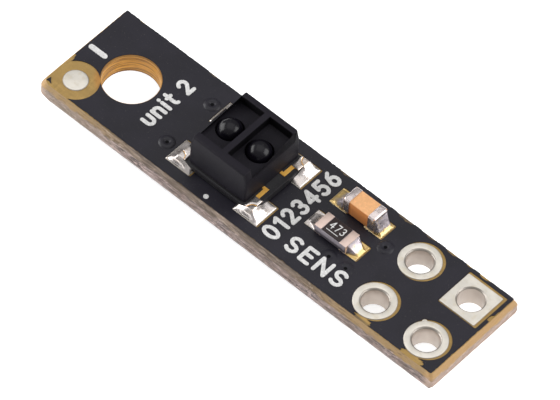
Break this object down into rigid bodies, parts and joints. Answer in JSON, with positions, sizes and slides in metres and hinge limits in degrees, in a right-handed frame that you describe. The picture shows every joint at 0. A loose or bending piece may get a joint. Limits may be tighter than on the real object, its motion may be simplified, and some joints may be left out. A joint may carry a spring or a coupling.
{
  "type": "infrared reflectance sensor board",
  "caption": "Narrow circuit board with a shrouded infrared emitter and detector pair, a screw hole at one end and plated header holes at the other.",
  "frame": {"origin": "under the middle of the board, level with the lowest component on its underside", "axes": "+X along the board towards the header holes, +Y towards the long side behind the sensor, +Z out of the sensor side"},
  "size_m": [0.02, 0.005, 0.0039],
  "materials": {
    "laminate": "bare glass-epoxy laminate with torn fibre at the scored edges",
    "solder_mask": "satin black solder mask",
    "tinned_copper": "hot-air levelled tin over copper",
    "copper": "bare copper barrel",
    "solder": "bright reflowed solder",
    "sensor_base_laminate": "black module base",
    "gold_plate": "gold flash",
    "sensor_plastic": "fine-grained black moulding",
    "infrared_epoxy": "polished infrared-pass epoxy",
    "silicon": "polished die",
    "tan_ceramic": "fired tan dielectric",
    "tinned_terminal": "plated terminal",
    "alumina": "pale alumina",
    "glass_overcoat": "black glass glaze",
    "switch_resin": "moulded epoxy"
  },
  "bodies": {
    "root": {"capacitor_body": "tan_ceramic", "capacitor_land_1": "tinned_copper", "capacitor_land_2": "tinned_copper", "capacitor_solder_1": "solder", "capacitor_solder_2": "solder", "capacitor_terminal_1": "tinned_terminal", "capacitor_terminal_2": "tinned_terminal", "circuit_board": "laminate", "detector_bond_wire": "gold_plate", "detector_chip": "silicon", "detector_lens": "infrared_epoxy", "emitter_bond_wire": "gold_plate", "emitter_chip": "silicon", "emitter_lens": "infrared_epoxy", "emitter_switch_body": "switch_resin", "emitter_switch_land_1": "tinned_copper", "emitter_switch_land_2": "tinned_copper", "emitter_switch_land_3": "tinned_copper", "emitter_switch_lead_1": "tinned_terminal", "emitter_switch_lead_2": "tinned_terminal", "emitter_switch_lead_3": "tinned_terminal", "fiducial_dot": "tinned_copper", "output_resistor_land_1": "tinned_copper", "output_resistor_land_2": "tinned_copper", "output_resistor_overcoat": "glass_overcoat", "output_resistor_solder_1": "solder", "output_resistor_solder_2": "solder", "output_resistor_substrate": "alumina", "output_resistor_terminal_1": "tinned_terminal", "output_resistor_terminal_2": "tinned_terminal", "plated_hole_1": "tinned_copper", "plated_hole_2": "tinned_copper", "plated_hole_3": "tinned_copper", "plated_hole_4": "tinned_copper", "sensor_base": "sensor_base_laminate", "sensor_contact_1": "gold_plate", "sensor_contact_2": "gold_plate", "sensor_contact_3": "gold_plate", "sensor_contact_4": "gold_plate", "sensor_housing": "sensor_plastic", "sensor_land_1": "tinned_copper", "sensor_land_2": "tinned_copper", "sensor_land_3": "tinned_copper", "sensor_land_4": "tinned_copper", "sensor_solder_1": "solder", "sensor_solder_2": "solder", "sensor_solder_3": "solder", "sensor_solder_4": "solder", "series_resistor_land_1": "tinned_copper", "series_resistor_land_2": "tinned_copper", "series_resistor_substrate": "alumina", "series_resistor_terminal_1": "tinned_terminal", "series_resistor_terminal_2": "tinned_terminal", "solder_mask_bottom": "solder_mask", "solder_mask_top": "solder_mask", "via_1": "copper", "via_2": "copper", "via_3": "copper", "via_4": "copper", "via_5": "copper"}
  },
  "joints": []
}
